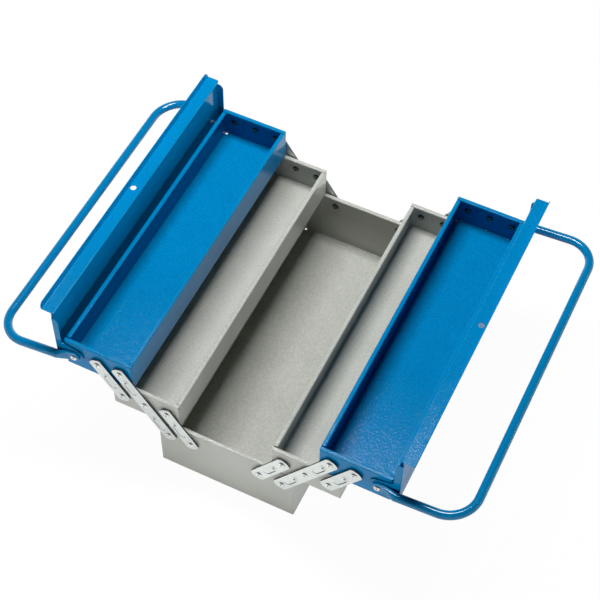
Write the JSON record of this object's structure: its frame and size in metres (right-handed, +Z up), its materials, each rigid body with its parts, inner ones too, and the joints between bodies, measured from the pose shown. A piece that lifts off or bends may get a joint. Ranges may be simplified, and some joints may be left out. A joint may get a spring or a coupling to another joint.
{
  "type": "cantilever tool box",
  "caption": "Steel cantilever tool box drawn open: a base and side trays that swing out on flat links, hinged lids and tubular carrying handles.",
  "frame": {"origin": "middle of the base's underside", "axes": "+X across the box, the way the right trays open; +Y along the box, away from the front end; +Z up"},
  "size_m": [0.6814, 0.479, 0.2638],
  "materials": {
    "grey_enamel": "fine textured enamel on folded steel sheet",
    "blue_enamel": "glossy textured enamel on folded steel sheet",
    "handle_enamel": "glossy enamel on steel tube",
    "link_steel": "bright zinc-plated steel strip",
    "rivet_steel": "zinc-plated, rolled heads",
    "washer_steel": "zinc-plated"
  },
  "bodies": {
    "base": {"base_box": "grey_enamel", "base_rivets": "rivet_steel", "base_washers": "washer_steel"},
    "left_long_links": {"left_long_link_front": "link_steel", "left_long_link_rear": "link_steel"},
    "left_lower_links": {"left_lower_link_front": "link_steel", "left_lower_link_rear": "link_steel"},
    "left_upper_links": {"left_upper_link_front": "link_steel", "left_upper_link_rear": "link_steel"},
    "left_middle": {"left_middle_tray": "grey_enamel", "left_middle_rivets": "rivet_steel", "left_middle_washers": "washer_steel"},
    "left_top": {"left_top_tray": "blue_enamel", "left_top_rivets": "rivet_steel", "left_top_washers": "washer_steel", "left_lid_rivets": "rivet_steel", "left_lid_washers": "washer_steel"},
    "left_lid": {"left_lid": "blue_enamel"},
    "left_handle": {"left_handle": "handle_enamel"},
    "right_long_links": {"right_long_link_front": "link_steel", "right_long_link_rear": "link_steel"},
    "right_lower_links": {"right_lower_link_front": "link_steel", "right_lower_link_rear": "link_steel"},
    "right_upper_links": {"right_upper_link_front": "link_steel", "right_upper_link_rear": "link_steel"},
    "right_middle": {"right_middle_tray": "grey_enamel", "right_middle_rivets": "rivet_steel", "right_middle_washers": "washer_steel"},
    "right_top": {"right_top_tray": "blue_enamel", "right_top_rivets": "rivet_steel", "right_top_washers": "washer_steel", "right_lid_rivets": "rivet_steel", "right_lid_washers": "washer_steel"},
    "right_lid": {"right_lid": "blue_enamel"},
    "right_handle": {"right_handle": "handle_enamel"}
  },
  "joints": [
    {"name": "left_swing", "type": "hinge", "parent": "base", "child": "left_long_links", "pos_m": [-0.0835, 0, 0.0785], "axis": [0, 1, 0], "range_deg": [0, 65.81]},
    {"name": "left_lower_swing", "type": "hinge", "parent": "base", "child": "left_lower_links", "pos_m": [-0.0505, 0, 0.0785], "axis": [0, 1, 0], "range_deg": [0, 65.81]},
    {"name": "left_middle_level", "type": "hinge", "parent": "left_long_links", "child": "left_middle", "pos_m": [-0.1165, 0, 0.1295], "axis": [0, 1, 0], "range_deg": [-65.81, 0]},
    {"name": "left_upper_swing", "type": "hinge", "parent": "left_middle", "child": "left_upper_links", "pos_m": [-0.1495, 0, 0.1295], "axis": [0, 1, 0], "range_deg": [0, 65.81]},
    {"name": "left_top_level", "type": "hinge", "parent": "left_long_links", "child": "left_top", "pos_m": [-0.1495, 0, 0.1805], "axis": [0, 1, 0], "range_deg": [-65.81, 0]},
    {"name": "left_lid_hinge", "type": "hinge", "parent": "left_top", "child": "left_lid", "pos_m": [-0.2155, 0, 0.1805], "axis": [0, 1, 0], "range_deg": [0, 90]},
    {"name": "left_handle_hinge", "type": "hinge", "parent": "left_top", "child": "left_handle", "pos_m": [-0.2155, 0, 0.1805], "axis": [0, 1, 0], "range_deg": [-57, 137.7]},
    {"name": "right_swing", "type": "hinge", "parent": "base", "child": "right_long_links", "pos_m": [0.0835, 0, 0.0785], "axis": [0, -1, 0], "range_deg": [0, 65.81]},
    {"name": "right_lower_swing", "type": "hinge", "parent": "base", "child": "right_lower_links", "pos_m": [0.0505, 0, 0.0785], "axis": [0, -1, 0], "range_deg": [0, 65.81]},
    {"name": "right_middle_level", "type": "hinge", "parent": "right_long_links", "child": "right_middle", "pos_m": [0.1165, 0, 0.1295], "axis": [0, -1, 0], "range_deg": [-65.81, 0]},
    {"name": "right_upper_swing", "type": "hinge", "parent": "right_middle", "child": "right_upper_links", "pos_m": [0.1495, 0, 0.1295], "axis": [0, -1, 0], "range_deg": [0, 65.81]},
    {"name": "right_top_level", "type": "hinge", "parent": "right_long_links", "child": "right_top", "pos_m": [0.1495, 0, 0.1805], "axis": [0, -1, 0], "range_deg": [-65.81, 0]},
    {"name": "right_lid_hinge", "type": "hinge", "parent": "right_top", "child": "right_lid", "pos_m": [0.2155, 0, 0.1805], "axis": [0, -1, 0], "range_deg": [0, 90]},
    {"name": "right_handle_hinge", "type": "hinge", "parent": "right_top", "child": "right_handle", "pos_m": [0.2155, 0, 0.1805], "axis": [0, -1, 0], "range_deg": [-69.5, 125.2]}
  ],
  "couplings": [
    {"joint": "left_lower_swing", "follows": "left_swing", "ratio": 1},
    {"joint": "left_middle_level", "follows": "left_swing", "ratio": -1},
    {"joint": "left_upper_swing", "follows": "left_swing", "ratio": 1},
    {"joint": "left_top_level", "follows": "left_swing", "ratio": -1},
    {"joint": "right_lower_swing", "follows": "right_swing", "ratio": 1},
    {"joint": "right_middle_level", "follows": "right_swing", "ratio": -1},
    {"joint": "right_upper_swing", "follows": "right_swing", "ratio": 1},
    {"joint": "right_top_level", "follows": "right_swing", "ratio": -1}
  ]
}
